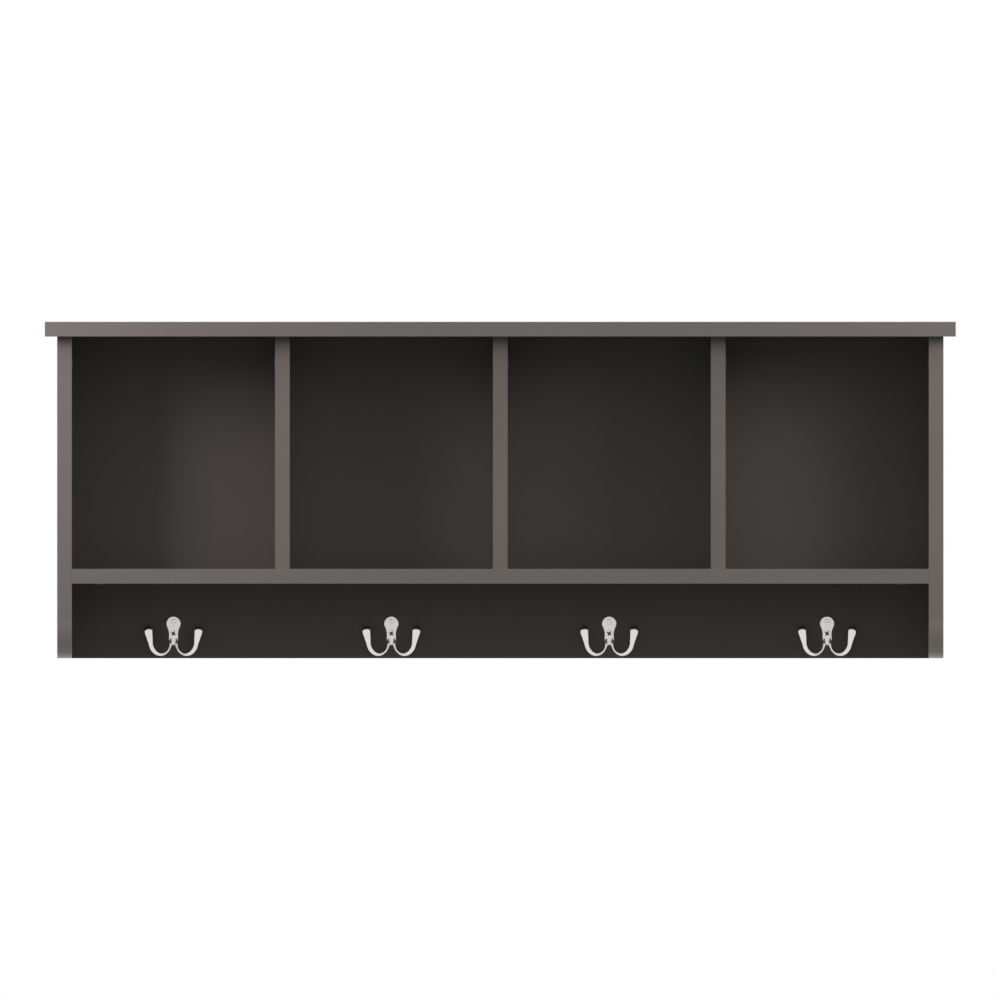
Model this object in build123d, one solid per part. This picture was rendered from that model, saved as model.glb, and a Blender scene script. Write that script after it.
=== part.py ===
from build123d import *
import math
import os

# Wall-hung cubby shelf with double coat hooks.
# Millimetres. +X to the viewer's right, front is -Y, wall plane is Y = 0, +Z up.
# Origin: middle of the wall rail's screw line, on the wall plane.

# ---------------------------------------------------------------- driving sizes
WIDTH = 1219.2            # top panel, end to end
DEPTH = 292.1             # top panel, front to wall
HEIGHT = 450.3            # underside of the sides to the top surface
BOARD = 19.8              # board thickness
BAND = 1.0                # edge band thickness
SIDE_OVERHANG = 16.5      # top past each side panel
SIDE_DEPTH = 264.0        # side panels, front to wall
INSET = 10.0              # dividers behind the side panels' fronts
FLOOR_INSET = 0.5         # cubby floor behind the side panels' fronts
FLOOR_UNDER = 99.8        # underside of the cubby floor above the bottom
SIDE_RADIUS = 52.5        # lower front corner of each side panel
DIVIDER_PITCH = 291.6     # divider to divider

BACK_FRONT_Y = -24.4      # front face of the back panel and of the hook rail
BACK_THICK = 4.0
GROOVE = 6.0              # how far the back panel sits in its grooves
STRIP_THICK = 15.8
STRIP_TALL = 80.0
CARCASE_BACK_Y = -4.6     # rear face of the hook rail and of the hanging strip

DATUM = 370.5             # height of the wall screw line above the bottom

RAIL_HALF = 500.0         # hanging rails, half length
RAIL_T = 2.0              # steel thickness
RAIL_LIP = 2.4            # lip offset from the rail's own rear face
RAIL_EDGE = 0.3           # rounding of the rails' corners
WALL_HOLE_R = 2.75
WALL_HOLE_X = (203.2, 406.4)
UNIT_SCREW_X = (-450.0, -330.0, -210.0, -90.0, 90.0, 210.0, 330.0, 450.0)
UNIT_SCREW_Z = 40.0

ARRIS_TOP = 0.6
ARRIS = 0.4

# hook sizes, heights above the bottom of the unit
HOOK_PLATE_T = 3.2
HOOK_DISC_R = 9.7
HOOK_DISC_Z = 46.6
HOOK_WAIST = 6.25
HOOK_TONGUE = 2.9
HOOK_SCREW_Z = (48.1, 33.1)
HOOK_SCREW_R = 4.6        # head
HOOK_SCREW_CROWN = 0.3
# arm centre line: outward from the hook's middle, height, off the board, front-view width, other width
ARM = (
    (4.25, 26.25, 0.9, 3.0, 1.5),
    (4.3, 22.75, 1.35, 3.6, 2.3),
    (4.05, 20.4, 1.95, 3.9, 3.0),
    (4.0, 17.6, 2.2, 3.9, 3.4),
    (4.6, 15.6, 2.3, 3.2, 3.5),
    (5.6, 12.95, 2.5, 3.0, 3.5),
    (7.15, 10.4, 2.7, 3.0, 3.6),
    (10.05, 7.8, 3.0, 3.2, 3.8),
    (13.0, 6.1, 3.65, 3.5, 4.0),
    (17.65, 5.35, 5.55, 4.1, 4.3),
    (21.6, 6.55, 9.1, 4.65, 4.6),
    (24.45, 8.45, 12.75, 5.1, 4.9),
    (26.4, 10.6, 16.35, 5.4, 5.1),
    (28.55, 13.7, 20.95, 5.6, 5.5),
    (29.7, 16.55, 24.6, 5.7, 5.9),
    (30.35, 19.2, 27.2, 5.7, 6.2),
    (30.75, 21.6, 28.95, 6.0, 6.6),
    (31.2, 24.25, 30.25, 6.95, 7.3),
    (31.95, 28.35, 31.85, 8.3, 8.5),
    (32.75, 32.55, 33.25, 9.6, 9.7),
    (33.3, 35.4, 34.3, 10.6, 10.4),
    (33.55, 38.0, 35.35, 11.2, 11.0),
)

# domed tip: along the arm and radius, in tip radii
TIP_DOME = ((0.45, 0.893), (0.75, 0.661), (0.93, 0.3676))
ARM_CUTS = (0, 2, 4, 6, 8, 10, 12, 14, 16, 18, 20)

# ---------------------------------------------------------------- derived sizes
Z0 = -DATUM


def up(z):
    return Z0 + z


TOP_UNDER = HEIGHT - BOARD
OUT_X = WIDTH / 2 - SIDE_OVERHANG
IN_X = OUT_X - BOARD
FRONT_Y = -SIDE_DEPTH + INSET
FLOOR_FRONT_Y = -SIDE_DEPTH + FLOOR_INSET
FLOOR_TOP = FLOOR_UNDER + BOARD
FLOOR_MID = FLOOR_UNDER + BOARD / 2
BACK_REAR_Y = BACK_FRONT_Y + BACK_THICK
STRIP_MID_Y = CARCASE_BACK_Y - STRIP_THICK / 2
RAIL_MID_Y = CARCASE_BACK_Y - BOARD / 2
DIVIDERS = (-DIVIDER_PITCH, 0.0, DIVIDER_PITCH)
HOOKS = (
    -(DIVIDER_PITCH + BOARD / 2 + IN_X) / 2,
    -DIVIDER_PITCH / 2,
    DIVIDER_PITCH / 2,
    (DIVIDER_PITCH + BOARD / 2 + IN_X) / 2,
)


# ---------------------------------------------------------------- small helpers
def box(x0, x1, y0, y1, z0, z1):
    return Pos((x0 + x1) / 2, (y0 + y1) / 2, (z0 + z1) / 2) * Box(
        abs(x1 - x0), abs(y1 - y0), abs(z1 - z0)
    )


def rod(p, d, r, a, b):
    """Cylinder of radius r about the line from p along d, from a to b along it."""
    d = Vector(*d).normalized()
    o = Vector(*p) + d * a
    return Plane(origin=o, z_dir=d) * Cylinder(
        r, b - a, align=(Align.CENTER, Align.CENTER, Align.MIN)
    )


def taper(p, d, r0, r1, a, b):
    d = Vector(*d).normalized()
    o = Vector(*p) + d * a
    return Plane(origin=o, z_dir=d) * Cone(
        r0, r1, b - a, align=(Align.CENTER, Align.CENTER, Align.MIN)
    )


def cross_recess(p, d, arm, wide, deep, turn=0.0):
    """Cross-shaped driver recess sunk along d from p."""
    d = Vector(*d).normalized()
    pl = Plane(origin=Vector(*p), z_dir=d)
    low = (Align.CENTER, Align.CENTER, Align.MIN)
    cut = Box(arm, wide, deep, align=low) + Box(wide, arm, deep, align=low)
    return pl * (Rot(0, 0, turn) * cut)


nodes = {}
cuts = {}


def cut(node, *tools):
    cuts.setdefault(node, []).extend(tools)


def group(node, *solids):
    nodes.setdefault(node, []).extend(solids)


# ---------------------------------------------------------------- fittings
CAM_R = 7.5
CAM_CENTRE = 34.0


def cam_joint(face, into, cam_face, cam_out, mate, host, capped):
    """Cam fitting. face: bolt point on the mating board; into: unit vector from there into the
    host board; cam_out: outward normal of the host face that takes the cam; cam_face: distance
    from the bolt line to that face; mate and host: node names."""
    f, u, n = Vector(*face), Vector(*into), Vector(*cam_out)
    bolt = (
        rod(f, u, 3.0, -10.5, 0.0)
        + rod(f, u, 3.9, 0.0, 1.2)
        + rod(f, u, 3.5, 1.2, 26.0)
        + rod(f, u, 2.2, 26.0, 32.0)
        + rod(f, u, 3.4, 32.0, 36.0)
    )
    group("cam_bolts", bolt)
    cut(mate, rod(f, u, 3.1, -11.0, 0.0))
    cut(host, rod(f, u, 4.0, -0.5, 36.4))
    centre = f + u * CAM_CENTRE
    bottom = centre - n * 4.3
    tall = cam_face + 4.3
    cut(host, rod(bottom, n, CAM_R + 0.1, 0.0, tall + 0.5))
    top = tall - 0.8
    cam = rod(bottom, n, CAM_R, 0.0, top)
    cam -= rod(f, u, 3.7, 20.0, 36.4)
    cam -= cross_recess(bottom + n * top, -n, 8.0, 1.6, 2.2, 45.0)
    group("cam_locks", cam)
    if capped:
        face_pt = bottom + n * tall
        cap = rod(face_pt, n, 8.6, 0.0, 0.8)
        rim = max(cap.edges().filter_by(GeomType.CIRCLE), key=lambda e: (e.arc_center - face_pt).dot(n))
        cap = fillet(rim, 0.5) + rod(face_pt, n, 7.2, -0.6, 0.0)
        group("cam_caps", cap)


def dowel(face, into, mate, host):
    f, u = Vector(*face), Vector(*into)
    pin = rod(f, u, 4.0, -11.0, 19.0)
    pin = chamfer(pin.edges().filter_by(GeomType.CIRCLE), 0.8)
    group("dowels", pin)
    cut(mate, rod(f, u, 4.05, -11.0, 0.0))
    cut(host, rod(f, u, 4.05, 0.0, 19.5))


def flat_screw(node, head_pt, d, head_r, shank_r, length, boards):
    """Countersunk screw: head flush at head_pt, driven along d through the named boards."""
    p, u = Vector(*head_pt), Vector(*d)
    deep = head_r - shank_r
    s = taper(p, u, head_r, shank_r, 0.0, deep) + rod(p, u, shank_r, deep, length - 4.0)
    s += taper(p, u, shank_r, 0.4, length - 4.0, length)
    s -= cross_recess(p, u, head_r * 1.15, head_r * 0.24, head_r * 0.4, 20.0)
    group(node, s)
    for b in boards:
        cut(b, rod(p, u, shank_r + 0.05, 0.0, length + 0.5))
    cut(boards[0], taper(p, u, head_r, shank_r, 0.0, deep))


# ---------------------------------------------------------------- boards
front_core = -DEPTH + BAND
top = box(-WIDTH / 2 + BAND, WIDTH / 2 - BAND, front_core, 0, up(TOP_UNDER), up(HEIGHT))
cut(
    "top_panel",
    box(
        -IN_X - GROOVE - 1, IN_X + GROOVE + 1, BACK_FRONT_Y, BACK_REAR_Y,
        up(TOP_UNDER) - 1, up(TOP_UNDER + GROOVE),
    ),
)

front_strip = box(-WIDTH / 2, WIDTH / 2, -DEPTH, front_core, up(TOP_UNDER), up(HEIGHT))
front_strip = fillet(front_strip.faces().sort_by(Axis.Y)[0].edges(), ARRIS_TOP)
end_strips = []
for sx in (-1, 1):
    e = box(sx * (WIDTH / 2 - BAND), sx * WIDTH / 2, front_core + 0.1, 0, up(TOP_UNDER), up(HEIGHT))
    outer = e.faces().sort_by(Axis.X)[0 if sx < 0 else -1]
    end_strips.append(fillet(outer.edges().filter_by(Axis.Y), ARRIS_TOP))
group("top_edge_band", front_strip, *end_strips)


def side_outline(x0, off):
    """Side panel's outline at x0, taken in by off along the front, the radius and the bottom."""
    f, b, r = -SIDE_DEPTH + off, up(off), SIDE_RADIUS - off
    cy, cz = -SIDE_DEPTH + SIDE_RADIUS, up(SIDE_RADIUS)
    k = r * math.sqrt(0.5)
    a = Line((f, up(TOP_UNDER)), (f, cz))
    c = ThreePointArc((f, cz), (cy - k, cz - k), (cy, b))
    d = Line((cy, b), (0, b))
    e = Line((0, b), (0, up(TOP_UNDER)))
    g = Line((0, up(TOP_UNDER)), (f, up(TOP_UNDER)))
    return Plane(origin=(x0, 0, 0), x_dir=(0, 1, 0), z_dir=(1, 0, 0)) * make_face([a, c, d, e, g])


side = {}
for name, x0 in (("left", -OUT_X), ("right", IN_X)):
    core = extrude(side_outline(x0, BAND), BOARD)
    band = extrude(side_outline(x0, 0.0) - side_outline(x0, BAND), BOARD)
    cy, cz = -SIDE_DEPTH + SIDE_RADIUS, up(SIDE_RADIUS)

    def outer_edge(e):
        m = e.position_at(0.5)
        if abs(e.tangent_at(0.5).X) > 0.9:
            return False
        return (
            abs(m.Y + SIDE_DEPTH) < 0.01
            or abs(m.Z - up(0)) < 0.01
            or abs(math.hypot(m.Y - cy, m.Z - cz) - SIDE_RADIUS) < 0.01 and m.Y < cy and m.Z < cz
        )

    band = fillet(ShapeList([e for e in band.edges() if outer_edge(e)]), ARRIS_TOP)
    side[name] = core
    group(name + "_side_edge_band", band)
    gx = (-IN_X - GROOVE, -IN_X + 1) if name == "left" else (IN_X - 1, IN_X + GROOVE)
    cut(
        name + "_side_panel",
        box(gx[0], gx[1], BACK_FRONT_Y, BACK_REAR_Y, up(FLOOR_TOP - GROOVE), up(TOP_UNDER) + 1),
    )

floor = box(-IN_X, IN_X, FLOOR_FRONT_Y + BAND, BACK_FRONT_Y, up(FLOOR_UNDER), up(FLOOR_TOP))
floor_band = box(-IN_X, IN_X, FLOOR_FRONT_Y, FLOOR_FRONT_Y + BAND, up(FLOOR_UNDER), up(FLOOR_TOP))
floor_band = fillet(floor_band.faces().sort_by(Axis.Y)[0].edges().filter_by(Axis.X), ARRIS)
group("cubby_floor_edge_band", floor_band)

divider = {}
for name, x in zip(("left", "centre", "right"), DIVIDERS):
    divider[name] = box(
        x - BOARD / 2, x + BOARD / 2, FRONT_Y + BAND, BACK_FRONT_Y, up(FLOOR_TOP), up(TOP_UNDER)
    )
    b = box(x - BOARD / 2, x + BOARD / 2, FRONT_Y, FRONT_Y + BAND, up(FLOOR_TOP), up(TOP_UNDER))
    group(
        "divider_edge_bands",
        fillet(b.faces().sort_by(Axis.Y)[0].edges().filter_by(Axis.Z), ARRIS),
    )

back = box(
    -IN_X - GROOVE + 0.3, IN_X + GROOVE - 0.3, BACK_FRONT_Y, BACK_REAR_Y,
    up(FLOOR_TOP - GROOVE), up(TOP_UNDER + GROOVE - 0.3),
)

hook_rail = box(-IN_X, IN_X, BACK_FRONT_Y, CARCASE_BACK_Y, up(BAND), up(FLOOR_TOP))
hook_rail -= box(
    -IN_X - 1, IN_X + 1, BACK_FRONT_Y - 1, BACK_REAR_Y, up(FLOOR_TOP - GROOVE), up(FLOOR_TOP) + 1
)
rail_band = box(-IN_X, IN_X, BACK_FRONT_Y, CARCASE_BACK_Y, up(0), up(BAND))
rail_band = fillet(rail_band.faces().sort_by(Axis.Z)[0].edges().filter_by(Axis.X), ARRIS)
group("hook_rail_edge_band", rail_band)

strip = box(
    -IN_X, IN_X, BACK_REAR_Y, CARCASE_BACK_Y, up(TOP_UNDER - STRIP_TALL), up(TOP_UNDER)
)

# ---------------------------------------------------------------- joints between the boards
CAM_Y = (-70.0, -200.0)
DOWEL_Y = (-45.0, -228.0)
DOWN, UPW = (0, 0, -1), (0, 0, 1)

for name, sx in (("left", -1), ("right", 1)):
    host = name + "_side_panel"
    mid = sx * (IN_X + BOARD / 2)
    for y in CAM_Y:
        cam_joint((mid, y, up(TOP_UNDER)), DOWN, BOARD / 2, (-sx, 0, 0), "top_panel", host, True)
        cam_joint(
            (sx * IN_X, y, up(FLOOR_MID)), (-sx, 0, 0), BOARD / 2, DOWN, host, "cubby_floor", True
        )
    for y in DOWEL_Y:
        dowel((mid, y, up(TOP_UNDER)), DOWN, "top_panel", host)
        dowel((sx * IN_X, y, up(FLOOR_MID)), (-sx, 0, 0), host, "cubby_floor")
    cam_joint(
        (sx * IN_X, RAIL_MID_Y, up(60.0)), (-sx, 0, 0), BOARD / 2, (0, 1, 0), host, "hook_rail", False
    )
    for z in (25.0, 90.0):
        dowel((sx * IN_X, RAIL_MID_Y, up(z)), (-sx, 0, 0), host, "hook_rail")
    cam_joint(
        (sx * IN_X, STRIP_MID_Y, up(375.0)), (-sx, 0, 0), STRIP_THICK / 2, (0, 1, 0),
        host, "hanging_strip", False,
    )
    dowel((sx * IN_X, STRIP_MID_Y, up(410.0)), (-sx, 0, 0), host, "hanging_strip")

for name, x in zip(("left", "centre", "right"), DIVIDERS):
    host = name + "_divider"
    out = -1 if x < 0 else 1
    for y in CAM_Y:
        cam_joint((x, y, up(TOP_UNDER)), DOWN, BOARD / 2, (out, 0, 0), "top_panel", host, True)
        p = (x, y + (-15.0 if y > -100 else 15.0), up(FLOOR_UNDER))
        s = taper(p, UPW, 5.0, 3.5, 0.0, 3.0) + rod(p, UPW, 3.5, 3.0, 46.0)
        s += taper(p, UPW, 3.5, 1.5, 46.0, 50.0)
        s -= Plane(origin=p, z_dir=UPW) * extrude(RegularPolygon(2.3, 6), 2.4)
        group("floor_screws", s)
        cut("cubby_floor", rod(p, UPW, 3.55, 0.0, 50.5), taper(p, UPW, 5.0, 3.5, 0.0, 3.0))
        cut(host, rod(p, UPW, 3.55, 0.0, 50.5))
    for y in DOWEL_Y:
        dowel((x, y, up(TOP_UNDER)), DOWN, "top_panel", host)
        dowel((x, y, up(FLOOR_TOP)), UPW, "cubby_floor", host)
    flat_screw(
        "strip_screws", (x, CARCASE_BACK_Y, up(375.0)), (0, -1, 0), 4.4, 2.2, 50.0,
        ("hanging_strip", "back_panel", host),
    )
    for z in (165.0, 235.0, 305.0):
        p = (x, BACK_REAR_Y, up(z))
        n = rod(p, (0, -1, 0), 1.6, -0.7, 0.0) + rod(p, (0, -1, 0), 0.7, 0.0, 15.5)
        n += taper(p, (0, -1, 0), 0.7, 0.1, 15.5, 17.5)
        group("back_nails", n)
        for b in ("back_panel", host):
            cut(b, rod(p, (0, -1, 0), 0.72, 0.0, 17.6))

for x in HOOKS:
    flat_screw(
        "rail_screws", (x, CARCASE_BACK_Y, up(107.0)), (0, -1, 0), 4.0, 2.0, 45.0,
        ("hook_rail", "cubby_floor"),
    )
    dowel((x, STRIP_MID_Y, up(TOP_UNDER)), DOWN, "top_panel", "hanging_strip")

# ---------------------------------------------------------------- hanging rails
# Z sections. The wall rail's lip stands off the wall and points up, the unit rail's points down.
LIP_Z = (10.0, 24.0)
wall_pts = [
    (0, -15.0), (0, LIP_Z[0] + RAIL_T), (-RAIL_LIP, LIP_Z[0] + RAIL_T), (-RAIL_LIP, LIP_Z[1]),
    (-RAIL_LIP - RAIL_T, LIP_Z[1]), (-RAIL_LIP - RAIL_T, LIP_Z[0]), (-RAIL_T, LIP_Z[0]), (-RAIL_T, -15.0),
]
unit_pts = [
    (-4.6, 24.0), (-2.2, 24.0), (-2.2, 12.6), (-0.2, 12.6), (-0.2, 26.0), (-2.6, 26.0), (-2.6, 52.0), (-4.6, 52.0),
]


def rail(points):
    pl = Plane(origin=(-RAIL_HALF, 0, 0), x_dir=(0, 1, 0), z_dir=(1, 0, 0))
    face = make_face(Polyline(*points, close=True))
    face = fillet(face.vertices(), RAIL_EDGE)
    return extrude(pl * face, 2 * RAIL_HALF)


wall_rail = rail(wall_pts)
for x in WALL_HOLE_X:
    for sx in (-1, 1):
        wall_rail -= rod((sx * x, 1, 0), (0, -1, 0), WALL_HOLE_R, 0.0, 4.0)
unit_rail = rail(unit_pts)
for x in UNIT_SCREW_X:
    p = (x, -2.6, UNIT_SCREW_Z)
    u = (0, -1, 0)
    unit_rail -= rod((x, 0, UNIT_SCREW_Z), u, 2.1, 0.0, 6.0)
    s = rod(p, u, 4.0, -2.0, 0.0)
    s = fillet(s.edges().filter_by(GeomType.CIRCLE).sort_by(Axis.Y)[-1], 1.2)
    s += rod(p, u, 2.0, 0.0, 12.0) + taper(p, u, 2.0, 0.4, 12.0, 15.0)
    s -= cross_recess((x, -0.6, UNIT_SCREW_Z), u, 4.4, 0.9, 1.4, 10.0)
    group("unit_rail_screws", s)
    cut("hanging_strip", rod((x, CARCASE_BACK_Y, UNIT_SCREW_Z), u, 2.05, 0.0, 13.5))


# ---------------------------------------------------------------- double hooks
def hook_plate(hx):
    a0 = math.radians(-28.0)
    ex, ez = HOOK_DISC_R * math.cos(a0), HOOK_DISC_Z + HOOK_DISC_R * math.sin(a0)
    t = (math.sin(a0), -math.cos(a0))
    z1, z2, z3 = 34.5, 28.0, 20.4
    w, g = HOOK_WAIST, HOOK_TONGUE
    edges = [ThreePointArc((-ex, up(ez)), (0, up(HOOK_DISC_Z + HOOK_DISC_R)), (ex, up(ez)))]
    for s in (1, -1):
        edges.append(
            Spline((s * ex, up(ez)), (s * w, up(z1)), tangents=[(s * t[0], t[1]), (0, -1)])
        )
        edges.append(Line((s * w, up(z1)), (s * w, up(z2))))
        edges.append(Spline((s * w, up(z2)), (s * g, up(z3)), tangents=[(0, -1), (0, -1)]))
    edges.append(ThreePointArc((g, up(z3)), (0, up(z3 - g)), (-g, up(z3))))
    pl = Plane(origin=(hx, BACK_FRONT_Y, 0), x_dir=(1, 0, 0), z_dir=(0, -1, 0))
    p = extrude(pl * make_face(edges), HOOK_PLATE_T)
    rim = p.faces().sort_by(Axis.Y)[0].edges()
    return fillet(rim, 1.2)


def hook_arm(s):
    """One arm of a hook at X = 0, on the side of sign s, with its domed tip."""
    rows = list(ARM)
    pts = [Vector(-a[0], BACK_FRONT_Y - a[2], up(a[1])) for a in rows]
    end = (pts[-1] - pts[-2]).normalized()
    last = len(rows) - 1
    tangents = [(pts[min(i + 1, last)] - pts[max(i - 1, 0)]).normalized() for i in range(len(rows))]
    r = rows[last][3] / 2
    for along, wide in TIP_DOME:
        rows.append((0, 0, 0, 2 * r * wide, 2 * r * wide))
        pts.append(pts[last] + end * (r * along))
        tangents.append(end)
    secs = []
    for p, t, a in zip(pts, tangents, rows):
        w = t.cross(Vector(0, 1, 0)).normalized()
        v = t.cross(w)
        ring = []
        for k in range(12):
            q = 2 * math.pi * k / 12
            ring.append(p + w * (a[3] / 2 * math.cos(q)) + v * (a[4] / 2 * math.sin(q)))
        secs.append(Wire([Spline(*ring, periodic=True)]))
    stops = list(ARM_CUTS) + [len(secs) - 1]
    arm = None
    # short lofts, so no loft turns far
    for a, b in zip(stops, stops[1:]):
        piece = Solid.make_loft(secs[a : b + 1])
        piece = Part(piece.wrapped if piece.volume > 0 else piece.wrapped.Reversed())
        arm = piece if arm is None else arm + piece
    return arm if s < 0 else mirror(arm, about=Plane.YZ)


HOOK_NAMES = ("hook_outer_left", "hook_inner_left", "hook_inner_right", "hook_outer_right")
casting = hook_plate(0.0)
for s in (-1, 1):
    casting = casting + hook_arm(s)
for name, hx in zip(HOOK_NAMES, HOOKS):
    h = Pos(hx, 0, 0) * casting
    for i, z in enumerate(HOOK_SCREW_Z):
        p = (hx, BACK_FRONT_Y - HOOK_PLATE_T, up(z))
        u = (0, 1, 0)
        r, k = HOOK_SCREW_R, HOOK_SCREW_CROWN
        ball = (r * r + k * k) / (2 * k)
        h -= rod(p, u, 2.1, -0.5, HOOK_PLATE_T + 0.5)
        h -= taper(p, u, r + 0.05, 2.1, 0.0, r - 2.05)
        s = taper(p, u, r, 2.05, 0.0, r - 2.05)
        s += rod(p, u, r, -3.0, 0.0) & (Pos(hx, p[1] + ball - k, up(z)) * Sphere(ball))
        s += rod(p, u, 1.9, r - 2.05, 14.0) + taper(p, u, 1.9, 0.4, 14.0, 17.0)
        s -= cross_recess((hx, p[1] - 1.0, up(z)), u, 5.6, 1.1, 2.6, 57.0 if i else 1.0)
        group("hook_screws", s)
        cut("hook_rail", rod(p, u, 1.95, 0.0, 17.5))
    group(name, h)

# ---------------------------------------------------------------- bring the boards together
boards = {
    "top_panel": top,
    "left_side_panel": side["left"],
    "right_side_panel": side["right"],
    "left_divider": divider["left"],
    "centre_divider": divider["centre"],
    "right_divider": divider["right"],
    "cubby_floor": floor,
    "back_panel": back,
    "hook_rail": hook_rail,
    "hanging_strip": strip,
}
for name, b in boards.items():
    tools = cuts.get(name, [])
    group(name, b - tools if tools else b)
group("wall_rail", wall_rail)
group("unit_rail", unit_rail)

os.makedirs("parts", exist_ok=True)
for name, shapes in nodes.items():
    solids = [s for shape in shapes for s in shape.solids()]
    item = solids[0] if len(solids) == 1 else Compound(children=solids)
    item.label = name
    export_step(item, "parts/" + name + ".step")
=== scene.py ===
import math

import bmesh
import bpy
import numpy as np
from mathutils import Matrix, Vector


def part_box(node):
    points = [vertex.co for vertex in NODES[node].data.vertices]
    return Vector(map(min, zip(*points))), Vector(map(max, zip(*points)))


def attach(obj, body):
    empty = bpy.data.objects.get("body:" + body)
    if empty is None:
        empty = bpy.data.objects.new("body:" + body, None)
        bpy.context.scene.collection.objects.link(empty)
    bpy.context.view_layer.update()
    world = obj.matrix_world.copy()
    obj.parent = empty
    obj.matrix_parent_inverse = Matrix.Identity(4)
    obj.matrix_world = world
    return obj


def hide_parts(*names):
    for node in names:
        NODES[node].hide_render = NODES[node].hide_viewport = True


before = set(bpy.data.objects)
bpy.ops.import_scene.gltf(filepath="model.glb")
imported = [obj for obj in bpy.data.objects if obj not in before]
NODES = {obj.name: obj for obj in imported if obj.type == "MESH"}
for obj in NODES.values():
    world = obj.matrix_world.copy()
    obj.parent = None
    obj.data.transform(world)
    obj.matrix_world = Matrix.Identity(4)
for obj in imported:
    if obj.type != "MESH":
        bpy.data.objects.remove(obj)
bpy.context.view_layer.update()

# The unit in the row frame, metres: front is -Y, wall plane Y = 0, screw line of the wall rail at Z = 0.
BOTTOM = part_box("hook_rail_edge_band")[0].z
RAIL_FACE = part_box("hook_rail")[0].y
HOOKS = ("hook_outer_left", "hook_inner_left", "hook_inner_right", "hook_outer_right")


# ------------------------------------------------------------------ materials
class Maker:
    """A material with a Principled shader and a few helpers to wire procedural detail into it."""

    def __init__(self, name, rough, spec, metallic=0.0, **sockets):
        self.mat = bpy.data.materials.new(name)
        self.mat.use_nodes = True
        self.nt = self.mat.node_tree
        self.bsdf = next(n for n in self.nt.nodes if n.type == "BSDF_PRINCIPLED")
        self.bsdf.inputs["Roughness"].default_value = rough
        self.bsdf.inputs["Specular IOR Level"].default_value = spec
        self.bsdf.inputs["Metallic"].default_value = metallic
        for k, v in sockets.items():
            self.bsdf.inputs[k.replace("_", " ")].default_value = v
        self.coord = self.node("ShaderNodeTexCoord")
        self.geo = self.node("ShaderNodeNewGeometry")

    def node(self, kind, **attrs):
        n = self.nt.nodes.new(kind)
        for k, v in attrs.items():
            setattr(n, k, v)
        return n

    def link(self, a, b):
        self.nt.links.new(a, b)

    def space(self, scale=(1, 1, 1), turn=(0, 0, 0), base=None):
        m = self.node("ShaderNodeMapping")
        m.inputs["Scale"].default_value = scale
        m.inputs["Rotation"].default_value = turn
        self.link(base or self.coord.outputs["Object"], m.inputs["Vector"])
        return m.outputs["Vector"]

    def noise(self, scale, detail=3.0, rough=0.5, vec=None, distortion=0.0, dims="3D"):
        n = self.node("ShaderNodeTexNoise", noise_dimensions=dims)
        n.inputs["Scale"].default_value = scale
        n.inputs["Detail"].default_value = detail
        n.inputs["Roughness"].default_value = rough
        n.inputs["Distortion"].default_value = distortion
        self.link(vec or self.coord.outputs["Object"], n.inputs["Vector"])
        return n.outputs["Fac"]

    def cells(self, scale, vec=None, feature="F1", out="Distance", randomness=1.0):
        n = self.node("ShaderNodeTexVoronoi", feature=feature)
        n.inputs["Scale"].default_value = scale
        n.inputs["Randomness"].default_value = randomness
        self.link(vec or self.coord.outputs["Object"], n.inputs["Vector"])
        return n.outputs[out]

    def span(self, value, a, b, c=0.0, d=1.0, smooth=False):
        n = self.node("ShaderNodeMapRange")
        n.interpolation_type = "SMOOTHSTEP" if smooth else "LINEAR"
        n.inputs["From Min"].default_value = a
        n.inputs["From Max"].default_value = b
        n.inputs["To Min"].default_value = c
        n.inputs["To Max"].default_value = d
        self.link(value, n.inputs["Value"])
        return n.outputs["Result"]

    def calc(self, op, a, b=None):
        n = self.node("ShaderNodeMath", operation=op)
        for i, v in enumerate((a, b)):
            if v is None:
                continue
            if isinstance(v, (int, float)):
                n.inputs[i].default_value = v
            else:
                self.link(v, n.inputs[i])
        return n.outputs[0]

    def ramp(self, value, stops):
        n = self.node("ShaderNodeValToRGB")
        els = n.color_ramp.elements
        while len(els) < len(stops):
            els.new(0.5)
        for e, (p, c) in zip(els, stops):
            e.position = p
            e.color = (*c, 1)
        self.link(value, n.inputs["Fac"])
        return n.outputs["Color"]

    def blend(self, fac, a, b, mode="MIX"):
        n = self.node("ShaderNodeMix", data_type="RGBA", blend_type=mode)
        fs, sa, sb = n.inputs[0], n.inputs[6], n.inputs[7]
        for sock, v in ((fs, fac), (sa, a), (sb, b)):
            if isinstance(v, (int, float)):
                sock.default_value = v
            elif isinstance(v, tuple):
                sock.default_value = (*v, 1)
            else:
                self.link(v, sock)
        return n.outputs[2]

    def facing(self, axis, sign=1, lo=0.6, hi=0.8):
        """1 where the true surface normal points along the given axis."""
        s = self.node("ShaderNodeSeparateXYZ")
        self.link(self.geo.outputs["True Normal"], s.inputs[0])
        return self.span(s.outputs[axis], sign * lo, sign * hi)

    def colour(self, socket):
        self.link(socket, self.bsdf.inputs["Base Color"])

    def rough(self, socket):
        self.link(socket, self.bsdf.inputs["Roughness"])

    def bump(self, height, distance, strength=1.0):
        n = self.node("ShaderNodeBump")
        n.inputs["Strength"].default_value = strength
        n.inputs["Distance"].default_value = distance
        self.link(height, n.inputs["Height"])
        self.link(n.outputs["Normal"], self.bsdf.inputs["Normal"])


def tint(c, k):
    return tuple(x * k for x in c)


# The laminate's own grey; then the same laminate darkened as painted shade, once for the back sheet seen in the
# cubbies and once more for the hook rail under the shelf.
BOARD = (0.1395, 0.1350, 0.1252)
BACK_PAINTED_SHADE = (0.1030, 0.0993, 0.0903)
HOOK_BOARD_PAINTED_SHADE = (0.0945, 0.0908, 0.0822)


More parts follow.
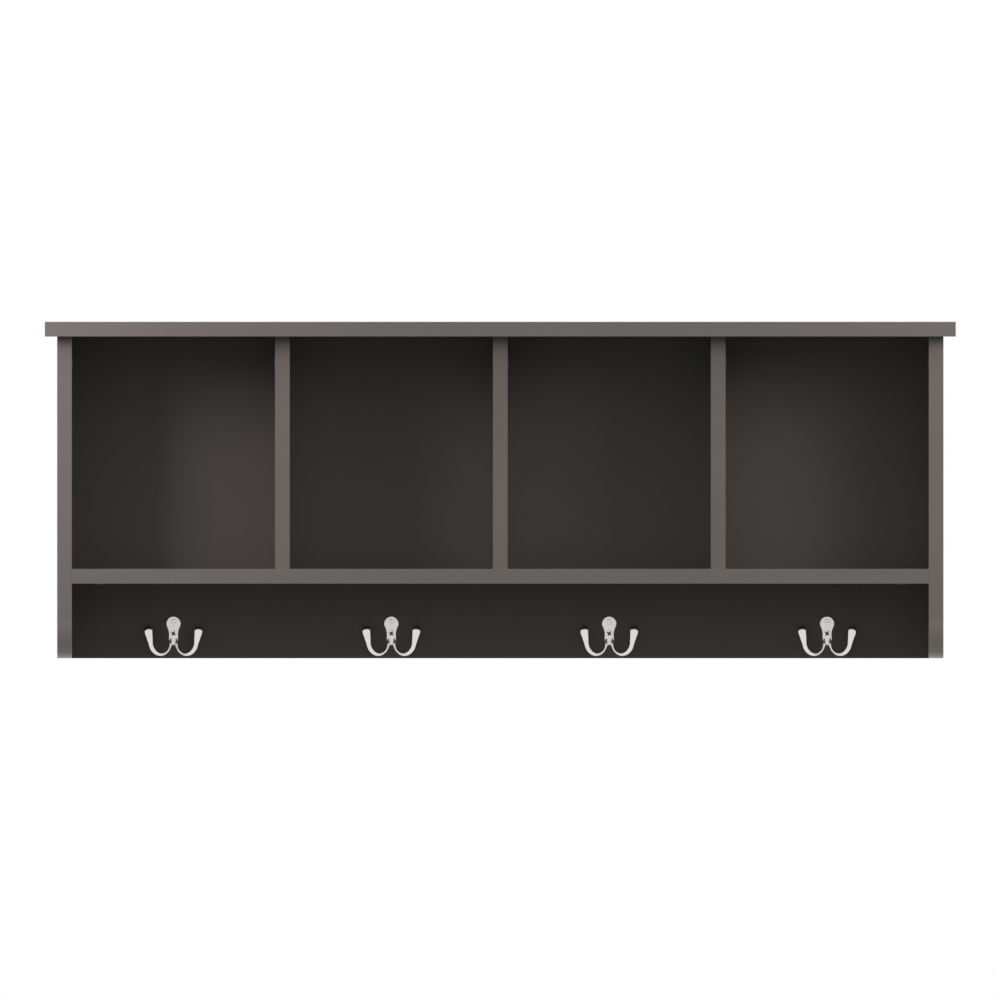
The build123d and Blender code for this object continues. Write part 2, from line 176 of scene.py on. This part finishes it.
def chip(m, vec=None):
    """Raw chipboard: flakes of pressed wood, lighter and darker, with small voids."""
    flake = m.cells(650, vec, out="Color")
    sep = m.node("ShaderNodeSeparateColor")
    m.link(flake, sep.inputs[0])
    tone = m.calc("ADD", m.calc("MULTIPLY", sep.outputs[0], 0.55), m.calc("MULTIPLY", m.noise(900, 4, 0.6, vec), 0.45))
    return m.ramp(tone, [(0.12, (0.13, 0.083, 0.045)), (0.4, (0.29, 0.198, 0.114)), (0.9, (0.41, 0.30, 0.185))])


def board_material(name, base, raw=None, bend=None, spec=0.2, rough=0.35):
    """Matt melamine: a pressed pearl texture, faint mottling, and raw chipboard where an edge has no band.
    A band that is bent round a corner is pulled smooth, and shines more there: bend is its specular level. Where it
    bends to face down, its colour carries painted warm bounce light."""
    m = Maker(name, rough, spec)
    cloud = m.noise(9, 3, 0.55)
    fine = m.noise(1500, 2, 0.6)
    fleck = m.noise(420, 3, 0.65)
    tone = m.calc("ADD", m.calc("MULTIPLY", cloud, 0.3), m.calc("ADD", m.calc("MULTIPLY", fine, 0.35), m.calc("MULTIPLY", fleck, 0.35)))
    col = m.ramp(tone, [(0.25, tint(base, 0.90)), (0.5, base), (0.75, tint(base, 1.10))])
    ro = m.span(m.noise(700, 3, 0.6), 0.3, 0.7, rough - 0.05, rough + 0.06)
    pearl = m.calc("ADD", m.noise(1100, 2, 0.5), m.calc("MULTIPLY", m.noise(2600, 2, 0.5), 0.5))
    if bend:
        f = m.calc("MULTIPLY", m.facing(2, -1, 0.005, 0.06), m.facing(2, -1, 0.999, 0.985))
        m.link(m.span(f, 0, 1, spec, bend), m.bsdf.inputs["Specular IOR Level"])
        m.bsdf.inputs["Specular Tint"].default_value = (1.0, 0.95, 0.90, 1)
        # and painted bounce light from below: where the bent band faces down its colour turns warmer, darker in green
        # and blue
        warm = (base[0] * 1.03, base[1] * 0.93, base[2] * 0.85)
        f = m.calc("MULTIPLY", f, m.facing(2, -1, 0.2, 0.8))
        col = m.blend(f, col, m.ramp(tone, [(0.25, tint(warm, 0.90)), (0.5, warm), (0.75, tint(warm, 1.10))]))
    if raw:
        f = m.facing(*raw)
        col = m.blend(f, col, chip(m))
        ro = m.span(f, 0, 1, rough, 0.85)
        rough_edge = m.calc("MULTIPLY", m.cells(650), 4.0)
        pearl = m.calc("ADD", pearl, m.calc("MULTIPLY", rough_edge, f))
    m.colour(col)
    m.rough(ro)
    m.bump(pearl, 0.00003, 0.55)
    return m.mat


def back_material():
    """Printed hardboard: the laminate grey in front, darkened as painted shade for the cubby backs; brown pressed
    fibre behind.
    """
    m = Maker("back_sheet", 0.36, 0.2)
    tone = m.calc("ADD", m.calc("MULTIPLY", m.noise(9, 3), 0.3), m.calc("MULTIPLY", m.noise(900, 3, 0.65), 0.7))
    # the front: a darker copy of the laminate grey, painted shade
    front = m.ramp(tone, [(0.25, tint(BACK_PAINTED_SHADE, 0.90)), (0.5, BACK_PAINTED_SHADE), (0.75, tint(BACK_PAINTED_SHADE, 1.10))])
    fibre = m.calc("ADD", m.calc("MULTIPLY", m.noise(140, 6, 0.7), 0.5), m.calc("MULTIPLY", m.noise(2400, 2, 0.6, m.space((1, 1, 0.25))), 0.5))
    rear = m.ramp(fibre, [(0.3, (0.115, 0.066, 0.034)), (0.5, (0.185, 0.112, 0.060)), (0.7, (0.255, 0.165, 0.095))])
    f = m.facing(1, 1, -0.6, -0.4)
    m.colour(m.blend(f, front, rear))
    m.rough(m.span(f, 0, 1, 0.36, 0.72))
    # screen marks of the press on the rear, pearl in front
    screen = m.calc("MULTIPLY", m.cells(330, randomness=0.0), f)
    m.bump(m.calc("ADD", m.noise(1300, 2), screen), 0.00005, 0.6)
    return m.mat


def batten_material():
    """Planed pine: growth bands along X, darker lines, a little fuzz."""
    m = Maker("batten", 0.62, 0.3)
    v = m.space((0.6, 14, 14))
    wob = m.noise(3.0, 3, 0.5, v, 0.6)
    band = m.node("ShaderNodeTexWave", wave_type="BANDS", bands_direction="Z")
    band.inputs["Scale"].default_value = 5.0
    band.inputs["Distortion"].default_value = 6.0
    band.inputs["Detail"].default_value = 2.5
    m.link(m.space((0.3, 6, 6)), band.inputs["Vector"])
    pores = m.noise(260, 4, 0.6, m.space((0.04, 1, 1)))
    tone = m.calc("ADD", m.calc("MULTIPLY", band.outputs["Fac"], 0.45), m.calc("ADD", m.calc("MULTIPLY", wob, 0.25), m.calc("MULTIPLY", pores, 0.3)))
    m.colour(m.ramp(tone, [(0.15, (0.60, 0.40, 0.205)), (0.5, (0.52, 0.325, 0.155)), (0.85, (0.36, 0.20, 0.085))]))
    m.rough(m.span(pores, 0.3, 0.7, 0.55, 0.72))
    m.bump(pores, 0.00012, 0.5)
    return m.mat


def metal_material(name, base, rough, brush=None, spread=0.05, mottling=0.04, spangle=False, bump=0.00002):
    """Metal with a worked surface: fine scratches or brushing, cloudy roughness, optional zinc spangle."""
    m = Maker(name, rough, 0.5, 1.0)
    cloud = m.noise(55, 4, 0.6)
    grain = m.noise(1700, 3, 0.6, m.space(brush) if brush else None)
    if spangle:
        cell = m.cells(85, out="Color")
        s = m.node("ShaderNodeSeparateColor")
        m.link(cell, s.inputs[0])
        cloud = m.calc("ADD", m.calc("MULTIPLY", cloud, 0.45), m.calc("MULTIPLY", s.outputs[0], 0.55))
    tone = m.calc("ADD", m.calc("MULTIPLY", cloud, 0.6), m.calc("MULTIPLY", grain, 0.4))
    m.colour(m.ramp(tone, [(0.2, tint(base, 1 - mottling)), (0.5, base), (0.8, tint(base, 1 + mottling))]))
    m.rough(m.span(tone, 0.3, 0.7, rough - spread, rough + spread))
    m.bump(grain, bump, 0.5)
    return m.mat


def plastic_material(name, base, rough=0.45):
    m = Maker(name, rough, 0.35)
    fine = m.noise(1800, 2, 0.6)
    cloud = m.noise(120, 3, 0.5)
    m.colour(m.ramp(cloud, [(0.3, tint(base, 0.93)), (0.7, tint(base, 1.07))]))
    m.rough(m.span(fine, 0.3, 0.7, rough - 0.06, rough + 0.06))
    m.bump(fine, 0.00003, 0.6)
    return m.mat


def dowel_material():
    m = Maker("dowel_wood", 0.6, 0.3)
    rays = m.noise(700, 4, 0.6, m.space((1, 1, 0.3)))
    m.colour(m.ramp(rays, [(0.3, (0.42, 0.26, 0.13)), (0.5, (0.56, 0.38, 0.21)), (0.7, (0.64, 0.46, 0.28))]))
    m.rough(m.span(rays, 0.3, 0.7, 0.5, 0.7))
    m.bump(rays, 0.00008, 0.6)
    return m.mat


laminate = board_material("laminate", BOARD)
laminate_rear = board_material("laminate_raw_rear", BOARD, raw=(1, 1))
# the hook rail's face: the laminate darkened further as painted shade under the shelf
laminate_hook = board_material("laminate_hook_rail", HOOK_BOARD_PAINTED_SHADE, raw=(2, 1))
band = board_material("edge_band", BOARD)
# the dividers' bands: a darker copy of the band grey, painted shade for the dividers set back under the top
band_divider = board_material("edge_band_dividers_painted_shade", tint(BOARD, 0.96))
band_side = board_material("edge_band_sides_painted_bounce", BOARD, bend=0.53)
# the hook rail's band: the same painted shade under the shelf
band_hook = board_material("edge_band_hook_rail", HOOK_BOARD_PAINTED_SHADE)
MATERIALS = {
    "top_panel": laminate_rear,
    "left_side_panel": laminate_rear,
    "right_side_panel": laminate_rear,
    "left_divider": laminate,
    "centre_divider": laminate,
    "right_divider": laminate,
    "cubby_floor": laminate,
    "hook_rail": laminate_hook,
    "back_panel": back_material(),
    "hanging_strip": batten_material(),
    "top_edge_band": band,
    "left_side_edge_band": band_side,
    "right_side_edge_band": band_side,
    "divider_edge_bands": band_divider,
    "cubby_floor_edge_band": band,
    "hook_rail_edge_band": band_hook,
    "unit_rail": metal_material("rail_steel", (0.60, 0.60, 0.59), 0.38, brush=(0.08, 1, 1), spangle=True, mottling=0.16, spread=0.09),
    "cam_caps": plastic_material("cap_plastic", tint(BOARD, 0.92)),
    "dowels": dowel_material(),
    "cam_locks": metal_material("cam_zinc", (0.55, 0.55, 0.54), 0.45, mottling=0.12),
    "back_nails": metal_material("zinc_steel", (0.62, 0.61, 0.57), 0.36, mottling=0.1),
}
MATERIALS["wall_rail"] = MATERIALS["unit_rail"]
for n in ("cam_bolts", "unit_rail_screws", "floor_screws", "rail_screws", "strip_screws"):
    MATERIALS[n] = MATERIALS["back_nails"]
for name, mat in MATERIALS.items():
    o = NODES[name]
    o.data.materials.clear()
    o.data.materials.append(mat)

nickel = metal_material("nickel", (0.66, 0.648, 0.632), 0.27, spread=0.03, mottling=0.03)
nickel_screw = metal_material("nickel_screw", (0.65, 0.638, 0.622), 0.24, spread=0.03, mottling=0.03)
# near-black painted shade for the sunk faces of the lower screws' open cross recesses
recess = metal_material("nickel_painted_recess_shade", (0.02, 0.02, 0.027), 0.55, mottling=0.15)


# ------------------------------------------------------------------ cast hooks
# The middle of one arm's broad side: across from the hook's middle, height above the unit's bottom,
# off the board; then the section's width in front view and its thickness (millimetres), and how
# square the section is: 2 is an ellipse.
ARM = np.array([
    (4.25, 26.5, 1.1, 3.0, 1.5, 4.0),
    (4.3, 23.2, 2.4, 3.6, 2.3, 4.0),
    (4.1, 20.9, 3.4, 3.9, 3.0, 4.0),
    (3.95, 19.3, 3.75, 4.0, 3.3, 4.0),
    (4.0, 17.1, 3.95, 3.85, 3.4, 4.5),
    (4.47, 15.7, 4.05, 3.1, 3.5, 5.0),
    (5.42, 13.0, 4.25, 2.8, 3.5, 5.0),
    (6.9, 10.4, 4.5, 2.8, 3.6, 5.0),
    (8.03, 9.05, 4.65, 2.85, 3.7, 5.0),
    (9.6, 7.7, 4.85, 3.0, 3.8, 5.0),
    (12.3, 5.95, 5.5, 3.45, 4.0, 5.5),
    (16.5, 4.93, 7.3, 4.1, 4.3, 6.0),
    (20.25, 5.55, 10.7, 4.65, 4.6, 6.0),
    (23.2, 7.0, 14.3, 5.1, 4.9, 6.0),
    (25.4, 8.85, 17.9, 5.4, 5.1, 6.0),
    (27.68, 11.7, 22.6, 5.6, 5.5, 6.0),
    (29.07, 14.4, 26.5, 5.7, 5.9, 6.0),
    (29.97, 17.1, 29.5, 5.7, 6.2, 6.0),
    (30.5, 19.7, 31.6, 6.0, 6.6, 6.0),
    (31.0, 22.4, 33.4, 6.95, 7.3, 6.0),
    (31.73, 26.4, 35.6, 8.3, 8.5, 6.0),
    (32.5, 30.4, 37.6, 9.6, 9.7, 6.0),
    (33.07, 33.1, 38.95, 10.6, 10.4, 6.0),
    (33.4, 35.9, 40.4, 11.3, 11.0, 5.0),
])
TIP_R = 3.75
PLATE_T = 3.2
SCREW_Z = (48.1, 33.1)
SCREW_R = 4.6


def catmull(rows, n):
    """Points on a smooth curve through the rows, n to a span."""
    p = np.vstack([2 * rows[0] - rows[1], rows, 2 * rows[-1] - rows[-2]])
    out = []
    for i in range(1, len(p) - 2):
        a, b, c, d = p[i - 1], p[i], p[i + 1], p[i + 2]
        for t in np.arange(n) / n:
            out.append(0.5 * (2 * b + (c - a) * t + (2 * a - 5 * b + 4 * c - d) * t * t + (3 * b - a - 3 * c + d) * t ** 3))
    out.append(p[-2])
    return np.array(out)


def plate_outline():
    """Half of the plate's outline, x >= 0, from the top of the disc round to the end of the tongue."""
    r, cz = 9.7, 46.6
    pts = [(r * math.sin(q), cz + r * math.cos(q)) for q in np.linspace(0, math.radians(122), 44)]
    # out of the disc into the waist
    neck = np.array([pts[-1], (7.58, 39.8), (6.88, 37.2), (6.36, 34.7), (6.22, 32.5), (6.25, 30.0)])
    pts += [tuple(p) for p in catmull(neck, 6)[1:]]
    # ears over the arms' roots, and the tongue between them
    pts += [(6.32, 25.2), (6.15, 24.4), (5.6, 24.7), (4.95, 25.9), (4.45, 27.1), (3.75, 27.3), (3.15, 26.2), (2.9, 24.4), (2.85, 22.0), (2.8, 19.4)]
    pts += [(2.8 * math.cos(q), 19.4 - 1.7 * math.sin(q)) for q in np.linspace(0.3, math.pi / 2, 6)]
    return np.array(pts)


def polygon_distance(poly, x, z):
    """Signed distance to a closed polygon, negative inside."""
    d2 = np.full(x.shape, 1e9)
    inside = np.zeros(x.shape, bool)
    for (ax, az), (bx, bz) in zip(poly, np.roll(poly, -1, 0)):
        ex, ez = bx - ax, bz - az
        L = ex * ex + ez * ez
        if L < 1e-12:
            continue
        t = np.clip(((x - ax) * ex + (z - az) * ez) / L, 0, 1)
        d2 = np.minimum(d2, (x - ax - t * ex) ** 2 + (z - az - t * ez) ** 2)
        cross = (az > z) != (bz > z)
        if abs(ez) > 1e-12:
            inside ^= cross & (x < ax + ex * (z - az) / ez)
    return np.where(inside, -1, 1) * np.sqrt(d2)


def soft_min(a, b, k):
    h = np.clip(0.5 + 0.5 * (b - a) / k, 0, 1)
    return b + (a - b) * h - k * h * (1 - h)


def hook_field(lo, h, shape):
    """Distance-like field of the casting on a grid over x >= 0. Axes: across, off the board, height."""
    gx, gd, gz = (lo[i] + h * np.arange(shape[i]) for i in range(3))
    f = np.full(shape, 9.0)
    c = catmull(ARM, 8)
    tan = np.gradient(c[:, [0, 2, 1]], axis=0)
    tan /= np.linalg.norm(tan, axis=1)[:, None]
    # the strap's broad side looks out and a little down
    face = np.array([0.0, 1.0, -0.2])
    w = np.cross(tan, face)
    w /= np.linalg.norm(w, axis=1)[:, None]
    v = np.cross(w, tan)
    pts = c[:, [0, 2, 1]] - v * c[:, 4:5] / 2
    for i in range(len(c) - 1):
        a, b = pts[i], pts[i + 1]
        reach = max(c[i, 3:5].max(), c[i + 1, 3:5].max()) / 2 + 3.5
        s = []
        for k, g in enumerate((gx, gd, gz)):
            i0 = max(0, int((min(a[k], b[k]) - reach - lo[k]) / h))
            i1 = min(shape[k], int((max(a[k], b[k]) + reach - lo[k]) / h) + 2)
            s.append(slice(i0, i1))
        if any(q.stop <= q.start for q in s):
            continue
        P = np.stack(np.meshgrid(gx[s[0]], gd[s[1]], gz[s[2]], indexing="ij"), -1)
        e = b - a
        t = np.clip(((P - a) @ e) / (e @ e), 0, 1)[..., None]
        q = P - a - t * e
        ww, vv, tt = w[i] + t * (w[i + 1] - w[i]), v[i] + t * (v[i + 1] - v[i]), tan[i]
        ra = (c[i, 3] + t[..., 0] * (c[i + 1, 3] - c[i, 3])) / 2
        rb = (c[i, 4] + t[..., 0] * (c[i + 1, 4] - c[i, 4])) / 2
        rm = np.minimum(ra, rb)
        pw = c[i, 5] + t[..., 0] * (c[i + 1, 5] - c[i, 5])
        u1, u2, u3 = np.abs((q * ww).sum(-1)), np.abs((q * vv).sum(-1)), np.abs(q @ tt)
        # the tip's outline is a flat arch; the other lengths only overlap a little
        cap, arch = (TIP_R, 2.1) if i == len(c) - 2 else (0.8, 4.0)
        side = ((u1 / ra) ** arch + (u3 / cap) ** arch) ** (1 / arch)
        k0 = (side ** pw + (u2 / rb) ** pw) ** (1 / pw)
        d = (k0 - 1) * rm
        block = f[s[0], s[1], s[2]]
        np.minimum(block, d, out=block)
    half = plate_outline()
    poly = np.vstack([half, (half * (-1, 1))[::-1]])
    X, Z = np.meshgrid(gx, gz, indexing="ij")
    d2 = polygon_distance(poly, X, Z)
    r = 0.55
    q1 = (d2 + r)[:, None, :]
    q2 = (gd - PLATE_T + r)[None, :, None]
    plate = np.minimum(np.maximum(q1, q2), 0) + np.sqrt(np.maximum(q1, 0) ** 2 + np.maximum(q2, 0) ** 2) - r
    f = soft_min(f, plate, 0.5)
    for z in SCREW_Z:
        # countersunk hole under the screw's head
        rr = np.sqrt(X ** 2 + (Z - z) ** 2)[:, None, :]
        f = np.maximum(f, SCREW_R - 0.55 - np.maximum(PLATE_T - gd, 0)[None, :, None] * 0.8 - rr)
    return np.maximum(f, -gd[None, :, None])


def surface_net(f, lo, h):
    """Quad mesh of the field's zero surface: one vertex to a cell that the surface crosses."""
    s = f < 0
    n = [k - 1 for k in f.shape]

    def corner(a, dx, dy, dz):
        return a[dx:n[0] + dx, dy:n[1] + dy, dz:n[2] + dz]

    offs = [(i, j, k) for i in (0, 1) for j in (0, 1) for k in (0, 1)]
    count = sum(corner(s, *o).astype(np.int8) for o in offs)
    mixed = (count > 0) & (count < 8)
    cells = np.argwhere(mixed)
    index = np.full(mixed.shape, -1)
    index[mixed] = np.arange(len(cells))
    acc, num = np.zeros((len(cells), 3)), np.zeros(len(cells))
    for a in offs:
        for ax in range(3):
            if a[ax]:
                continue
            b = tuple(a[k] + (k == ax) for k in range(3))
            fa = f[cells[:, 0] + a[0], cells[:, 1] + a[1], cells[:, 2] + a[2]]
            fb = f[cells[:, 0] + b[0], cells[:, 1] + b[1], cells[:, 2] + b[2]]
            hit = (fa < 0) != (fb < 0)
            t = np.where(hit, fa / np.where(hit, fa - fb, 1), 0)
            p = np.array(a, float) + t[:, None] * np.eye(3)[ax]
            acc[hit] += p[hit]
            num[hit] += 1
    verts = np.array(lo) + h * (cells + acc / num[:, None])
    quads = []
    for ax in range(3):
        o1, o2 = (ax + 1) % 3, (ax + 2) % 3
        a = [slice(1, k - 1) for k in f.shape]
        b = list(a)
        a[ax], b[ax] = slice(0, f.shape[ax] - 1), slice(1, f.shape[ax])
        sa, sb = s[tuple(a)], s[tuple(b)]
        where = np.argwhere(sa != sb)
        inside = sa[sa != sb]
        base = where + 1
        base[:, ax] = where[:, ax]
        ring = []
        for d1, d2 in ((-1, -1), (0, -1), (0, 0), (-1, 0)):
            c = base.copy()
            c[:, o1] += d1
            c[:, o2] += d2
            ring.append(index[c[:, 0], c[:, 1], c[:, 2]])
        ring = np.stack(ring, 1)
        ring[~inside] = ring[~inside][:, ::-1]
        quads.append(ring)
    return verts, np.vstack(quads)


def smoothed(verts, quads, rounds, keep):
    """Taubin smoothing; keep marks the axes' planes that a vertex may not leave."""
    edges = np.vstack([quads[:, [i, (i + 1) % 4]] for i in range(4)])
    edges = np.vstack([edges, edges[:, ::-1]])
    deg = np.bincount(edges[:, 0], minlength=len(verts))[:, None]
    v = verts.copy()
    for k in range(rounds):
        for lam in (0.5, -0.52):
            s = np.zeros_like(v)
            np.add.at(s, edges[:, 0], v[edges[:, 1]])
            step = lam * (s / np.maximum(deg, 1) - v)
            step[keep] = 0
            v = v + step
    return v


def hook_mesh():
    h = 0.42
    lo = np.array([-43.05 + h * 0.5, -1.26, 0.9])
    hi = np.array([43.05, 45.0, 59.0])
    shape = tuple(int(math.ceil((hi[i] - lo[i]) / h)) + 1 for i in range(3))
    nx = shape[0] - shape[0] % 2
    lo[0] = -h * (nx - 1) / 2
    half = hook_field(np.array([h / 2, lo[1], lo[2]]), h, (nx // 2, shape[1], shape[2]))
    f = np.concatenate([half[::-1], half], 0)
    verts, quads = surface_net(f, lo, h)
    flat = verts[:, 1] < 0.25
    verts[flat, 1] = np.maximum(verts[flat, 1], 0.0)
    verts = smoothed(verts, quads, 4, flat)
    me = bpy.data.meshes.new("cast_double_hook")
    co = np.stack([verts[:, 0], -verts[:, 1], verts[:, 2]], 1) / 1000.0
    me.from_pydata(co.tolist(), [], quads.tolist())
    me.validate()
    bm = bmesh.new()
    bm.from_mesh(me)
    bmesh.ops.recalc_face_normals(bm, faces=bm.faces[:])
    bm.to_mesh(me)
    bm.free()
    me.polygons.foreach_set("use_smooth", [True] * len(me.polygons))
    me.materials.append(nickel)
    return me


def place(me, name, loc, body, node):
    o = bpy.data.objects.new(name, me)
    bpy.context.scene.collection.objects.link(o)
    o.location = loc
    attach(o, body)
    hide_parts(node)
    return o


casting = hook_mesh()
hook_x = []
for node in HOOKS:
    a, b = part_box(node)
    x = (a.x + b.x) / 2
    hook_x.append(x)
    place(casting, "cast_" + node, (x, RAIL_FACE, BOTTOM), "cabinet", node)


# ------------------------------------------------------------------ hook screws
def screw(bm, x, y, z, turn, deep, arm, wide, dark):
    """Low oval-head cross-recess screw along +Y; its head's rim lies at y, in metres."""
    rings, seg = 36, 120
    R, crown = SCREW_R / 1000, 0.17e-3
    # head's top: height field over a polar grid, with a tapered cross sunk into it
    rows, sunk = [], {}
    for i in range(1, rings + 1):
        r = R * i / rings
        row = []
        for k in range(seg):
            q = 2 * math.pi * k / seg
            h = crown * (1 - (r / R) ** 5)
            px, pz = abs(r * math.cos(q - turn)), abs(r * math.sin(q - turn))
            # arms narrow towards their ends
            thin = lambda s: wide * (1 - 0.3 * min(1.0, s / arm))
            gap = max(min(arm - px, thin(px) - pz), min(arm - pz, thin(pz) - px))
            sink = deep * max(0.0, min(1.0, gap / 0.22e-3 + 0.5)) * (1 - 0.4 * min(1.0, r / arm))
            if not dark:
                # what is left of a filled cross: a dimple at the end of each arm
                sink += 0.38e-3 * math.exp(-((max(px, pz) - arm) ** 2 + min(px, pz) ** 2) / 0.45e-3 ** 2)
            v = bm.verts.new((x + r * math.cos(q), y - h + sink, z + r * math.sin(q)))
            # sunk faces of an open cross take the near-black second material: painted shade in the recess
            sunk[v] = dark and sink > 0.15 * deep
            row.append(v)
        rows.append(row)
    centre = bm.verts.new((x, y - crown + deep, z))
    for k in range(seg):
        bm.faces.new((centre, rows[0][k], rows[0][(k + 1) % seg])).material_index = int(dark)
    # countersink, shank and point
    for r, d in ((4.45e-3, 0.12e-3), (3.9e-3, 0.7e-3), (2.05e-3, 2.55e-3), (1.9e-3, 2.9e-3), (1.9e-3, 14e-3), (0.4e-3, 17e-3)):
        rows.append([bm.verts.new((x + r * math.cos(2 * math.pi * k / seg), y + d, z + r * math.sin(2 * math.pi * k / seg))) for k in range(seg)])
    for a, b in zip(rows, rows[1:]):
        for k in range(seg):
            ring = (a[k], b[k], b[(k + 1) % seg], a[(k + 1) % seg])
            f = bm.faces.new(ring)
            f.material_index = 1 if sum(sunk.get(v, False) for v in ring) > 1 else 0
    bm.faces.new(rows[-1])


bm = bmesh.new()
for x in hook_x:
    # the upper screws' recesses are filled with plating, the lower ones are open, and their sunk faces are painted
    # near-black as shade in the recess
    for z, turn, deep, arm, wide, dark in ((SCREW_Z[0], 1.0, 0.05e-3, 2.35e-3, 0.5e-3, False), (SCREW_Z[1], 57.0, 1.9e-3, 3.1e-3, 0.92e-3, True)):
        screw(bm, x, RAIL_FACE - PLATE_T / 1000 - 4e-5, BOTTOM + z / 1000, math.radians(turn), deep, arm, wide, dark)
bmesh.ops.recalc_face_normals(bm, faces=bm.faces[:])
me = bpy.data.meshes.new("hook_screw_set")
bm.to_mesh(me)
bm.free()
me.polygons.foreach_set("use_smooth", [True] * len(me.polygons))
me.materials.append(nickel_screw)
me.materials.append(recess)
place(me, "cross_head_screws", (0, 0, 0), "cabinet", "hook_screws")


# ------------------------------------------------------------------ stage, light and camera
def floor():
    me = bpy.data.meshes.new("floor")
    s, z = 6.0, BOTTOM - 1.4
    me.from_pydata([(-s, -s, z), (s, -s, z), (s, s, z), (-s, s, z)], [], [(0, 1, 2, 3)])
    o = bpy.data.objects.new("floor", me)
    bpy.context.scene.collection.objects.link(o)
    m = Maker("pale_floor", 0.8, 0.2)
    m.colour(m.ramp(m.noise(2.0, 4), [(0.3, (0.815, 0.815, 0.805)), (0.7, (0.825, 0.825, 0.815))]))
    clear = m.node("ShaderNodeBsdfTransparent")
    mix = m.node("ShaderNodeMixShader")
    out = next(n for n in m.nt.nodes if n.type == "OUTPUT_MATERIAL")
    m.link(m.geo.outputs["Backfacing"], mix.inputs[0])
    m.link(m.bsdf.outputs[0], mix.inputs[1])
    m.link(clear.outputs[0], mix.inputs[2])
    m.link(mix.outputs[0], out.inputs["Surface"])
    me.materials.append(m.mat)
    o.visible_diffuse = False
    o.visible_glossy = False
    o.visible_shadow = False


floor()

AIM = Vector((0, -0.15, -0.15))


def softbox(name, loc, size, power, colour):
    d = bpy.data.lights.new(name, "AREA")
    d.shape = "RECTANGLE"
    d.size, d.size_y = size
    d.energy = power
    d.color = colour
    o = bpy.data.objects.new(name, d)
    bpy.context.scene.collection.objects.link(o)
    o.location = loc
    o.rotation_euler = (AIM - Vector(loc)).to_track_quat("-Z", "Y").to_euler()
    o.visible_camera = False
    o.visible_glossy = False
    return o


softbox("softbox_left", (-1.168, -1.233, 0.403), (0.294, 0.434), 6.25, (1.0, 0.787, 0.711))
softbox("softbox_right", (1.174, -1.324, 0.385), (0.551, 0.474), 6.65, (1.0, 0.827, 0.754))
softbox("softbox_near_left", (-0.95, -0.75, 0.25), (0.3, 0.3), 2.6, (1.0, 0.86, 0.95))
softbox("softbox_near_right", (0.95, -0.75, 0.25), (0.3, 0.3), 1.1, (1.0, 0.80, 0.95))

world = bpy.data.worlds.new("studio")
bpy.context.scene.world = world
world.use_nodes = True
nt = world.node_tree
nt.nodes.clear()


def wnode(kind, **attrs):
    n = nt.nodes.new(kind)
    for k, v in attrs.items():
        setattr(n, k, v)
    return n


def wrange(value, a, b, c, d, kind="SMOOTHSTEP"):
    n = wnode("ShaderNodeMapRange", interpolation_type=kind)
    for key, v in (("From Min", a), ("From Max", b)):
        n.inputs[key].default_value = v
    for key, v in (("To Min", c), ("To Max", d)):
        if isinstance(v, (int, float)):
            n.inputs[key].default_value = v
        else:
            nt.links.new(v, n.inputs[key])
    nt.links.new(value, n.inputs["Value"])
    return n.outputs["Result"]


coord = wnode("ShaderNodeTexCoord")
sep = wnode("ShaderNodeSeparateXYZ")
nt.links.new(coord.outputs["Generated"], sep.inputs[0])
path = wnode("ShaderNodeLightPath")
# room in front of the unit: bright above, dim below with a lighter patch of floor straight down;
# white for reflections, a little brighter from below, and for the backdrop
LEVELS = (
    (-1.0, 0.6), (-0.88, 0.6), (-0.8, 0.06), (-0.5, 0.03), (-0.22, 0.0), (-0.15, 0.1), (-0.06, 0.27), (0.015, 0.42),
    (0.085, 0.57), (0.16, 0.7), (0.25, 0.765), (0.375, 0.8), (0.5, 0.92), (0.62, 1.08), (0.75, 1.15), (1.0, 1.15),
)
ramp = wnode("ShaderNodeValToRGB")
while len(ramp.color_ramp.elements) < len(LEVELS):
    ramp.color_ramp.elements.new(0.5)
for e, (z, v) in zip(ramp.color_ramp.elements, LEVELS):
    e.position = (z + 1) / 2
    e.color = (v / 1.2, v / 1.2, v / 1.2, 1)
nt.links.new(wrange(sep.outputs["Z"], -1, 1, 0, 1, "LINEAR"), ramp.inputs["Fac"])
front = wrange(ramp.outputs["Color"], 0, 1, 0, 1.2, "LINEAR")
sky = wrange(sep.outputs["Y"], -0.02, 0.02, front, 1.0)
shine = wrange(path.outputs["Is Glossy Ray"], 0.4, 0.6, sky, wrange(sep.outputs["Z"], -0.8, -0.1, 1.08, 0.97))
level = wrange(path.outputs["Is Camera Ray"], 0.4, 0.6, shine, 1.0)
bg = wnode("ShaderNodeBackground")
bg.inputs["Color"].default_value = (1, 1, 1, 1)
nt.links.new(level, bg.inputs["Strength"])
wout = wnode("ShaderNodeOutputWorld")
nt.links.new(bg.outputs[0], wout.inputs["Surface"])

cam = bpy.data.cameras.new("camera")
cam.type = "ORTHO"
cam.ortho_scale = 1.33831
cam.clip_end = 50
co = bpy.data.objects.new("camera", cam)
bpy.context.scene.collection.objects.link(co)
co.location = (-0.0004, -4.0, -0.15871)
co.rotation_euler = (math.pi / 2, 0, 0)
bpy.context.scene.camera = co

view = bpy.context.scene.view_settings
view.view_transform = "Standard"
view.look = "None"
view.exposure = 0
view.gamma = 1
